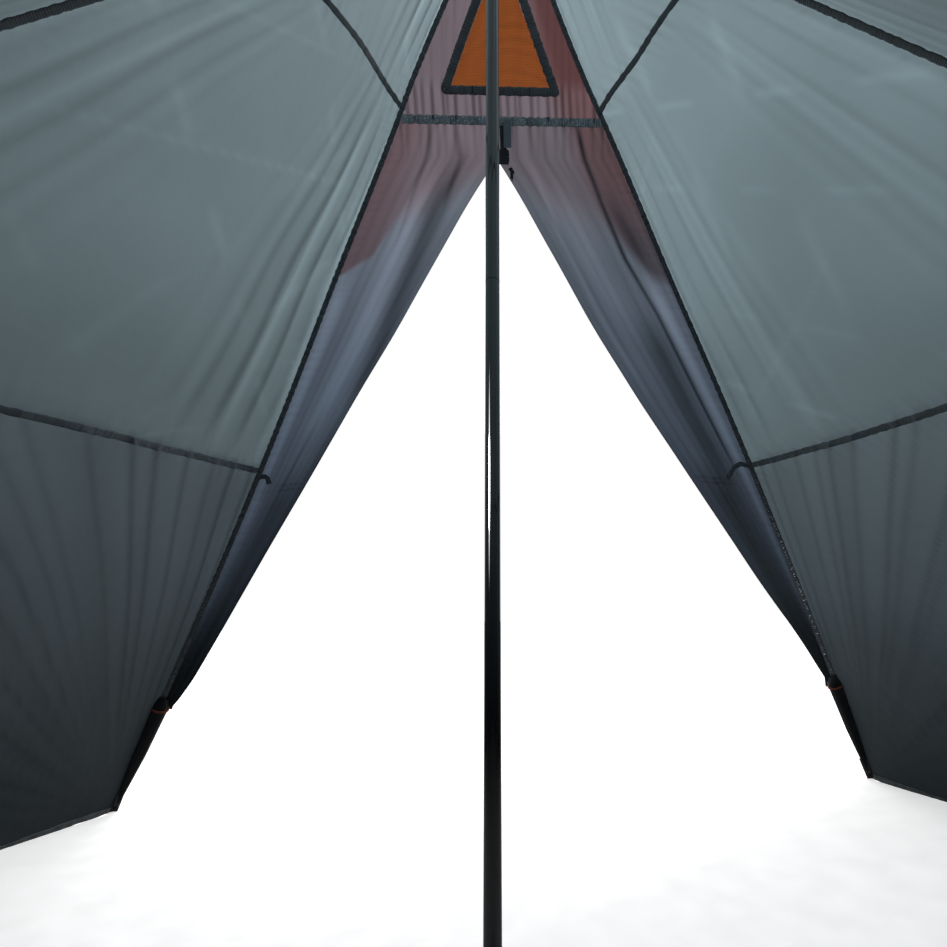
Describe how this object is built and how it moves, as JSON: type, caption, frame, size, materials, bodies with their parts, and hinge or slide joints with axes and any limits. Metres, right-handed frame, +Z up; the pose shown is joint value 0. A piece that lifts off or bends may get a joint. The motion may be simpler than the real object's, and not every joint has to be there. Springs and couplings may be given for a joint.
{
  "type": "teepee tent",
  "caption": "Five-sided tepee tent on one centre pole, with a zipped front door, a hooded vent, hems and pegging corners.",
  "frame": {"origin": "on the ground at the pole's foot", "axes": "+Z up the pole, the doorway faces -Y, +X to the right for somebody who looks in from outside"},
  "size_m": [3.7722, 2.9165, 2.3422],
  "materials": {
    "canopy": "thin coated polyester, translucent grey-teal",
    "tape": "dark binding tape",
    "hood": "orange ripstop polyester",
    "mesh": "fine insect mesh",
    "zip": "coil zip",
    "zip_metal": "black enamel",
    "grey_webbing": "woven webbing",
    "red_webbing": "woven webbing",
    "eyelet": "plated eyelet",
    "elastic": "braided elastic cord",
    "toggle": "moulded toggle",
    "pole": "gloss black powder coat",
    "pole_plug": "moulded plug",
    "peak_cloth": "reinforced polyester"
  },
  "bodies": {
    "root": {"apex_cap": "peak_cloth", "apex_pocket": "peak_cloth", "corner_eyelets": "eyelet", "corner_tabs": "red_webbing", "door_header": "canopy", "door_seam_left": "tape", "door_seam_right": "tape", "flap_tail_left": "canopy", "flap_tail_right": "canopy", "flap_web_left": "canopy", "flap_web_right": "canopy", "header_seam_tape": "tape", "hem_left": "tape", "hem_rear_left": "tape", "hem_rear_right": "tape", "hem_right": "tape", "hip_seam_left": "tape", "hip_seam_rear": "tape", "hip_seam_right": "tape", "panel_left_lower": "canopy", "panel_left_middle": "canopy", "panel_left_upper": "canopy", "panel_rear_left_lower": "canopy", "panel_rear_left_middle": "canopy", "panel_rear_left_upper": "canopy", "panel_rear_right_lower": "canopy", "panel_rear_right_middle": "canopy", "panel_rear_right_upper": "canopy", "panel_right_lower": "canopy", "panel_right_middle": "canopy", "panel_right_upper": "canopy", "ring_tape_lower_left": "tape", "ring_tape_lower_rear_left": "tape", "ring_tape_lower_rear_right": "tape", "ring_tape_lower_right": "tape", "ring_tape_upper_left": "tape", "ring_tape_upper_rear_left": "tape", "ring_tape_upper_rear_right": "tape", "ring_tape_upper_right": "tape", "tie_loop_left": "elastic", "tie_loop_right": "elastic", "vent_binding": "tape", "vent_hood": "hood", "vent_mesh": "mesh", "zip_tab": "grey_webbing", "zip_upper": "zip"},
    "pole": {"pole_lower": "pole", "pole_upper": "pole", "pole_foot_plug": "pole_plug", "pole_tip": "pole_plug"},
    "leaf_edge_left": {"flap_roll_left": "canopy", "zip_chain_left": "zip"},
    "leaf_edge_right": {"flap_roll_right": "canopy", "zip_chain_right": "zip"},
    "slider": {"zip_slider": "zip_metal"},
    "pull": {"zip_pull": "zip_metal"},
    "toggle_left": {"tie_toggle_left": "toggle"},
    "toggle_right": {"tie_toggle_right": "toggle"}
  },
  "joints": [
    {"name": "pole_lean", "type": "hinge", "parent": "root", "child": "pole", "pos_m": [0, 0, 2.25], "axis": [1, 0, 0], "range_deg": [-12, 12]},
    {"name": "door_edge_left", "type": "hinge", "parent": "root", "child": "leaf_edge_left", "pos_m": [0, -0.22809, 1.68], "axis": [0, -0.9466, 0.3223], "range_deg": [0, 32.2]},
    {"name": "door_edge_right", "type": "hinge", "parent": "root", "child": "leaf_edge_right", "pos_m": [0, -0.22809, 1.68], "axis": [0, 0.9466, -0.3223], "range_deg": [0, 32.2]},
    {"name": "zip_slide", "type": "slide", "parent": "leaf_edge_left", "child": "slider", "axis": [-0.5351, -0.2722, -0.7997], "range_m": [0, 1.63]},
    {"name": "pull_swing", "type": "hinge", "parent": "slider", "child": "pull", "pos_m": [-0.02033, -0.22896, 1.64639], "axis": [1, 0, 0], "range_deg": [-15, 60]},
    {"name": "toggle_swing_left", "type": "hinge", "parent": "root", "child": "toggle_left", "pos_m": [-0.94525, -0.73898, 0.30047], "axis": [1, 0, 0], "range_deg": [-60, 0]},
    {"name": "toggle_swing_right", "type": "hinge", "parent": "root", "child": "toggle_right", "pos_m": [0.94525, -0.73898, 0.30047], "axis": [1, 0, 0], "range_deg": [-60, 0]}
  ]
}
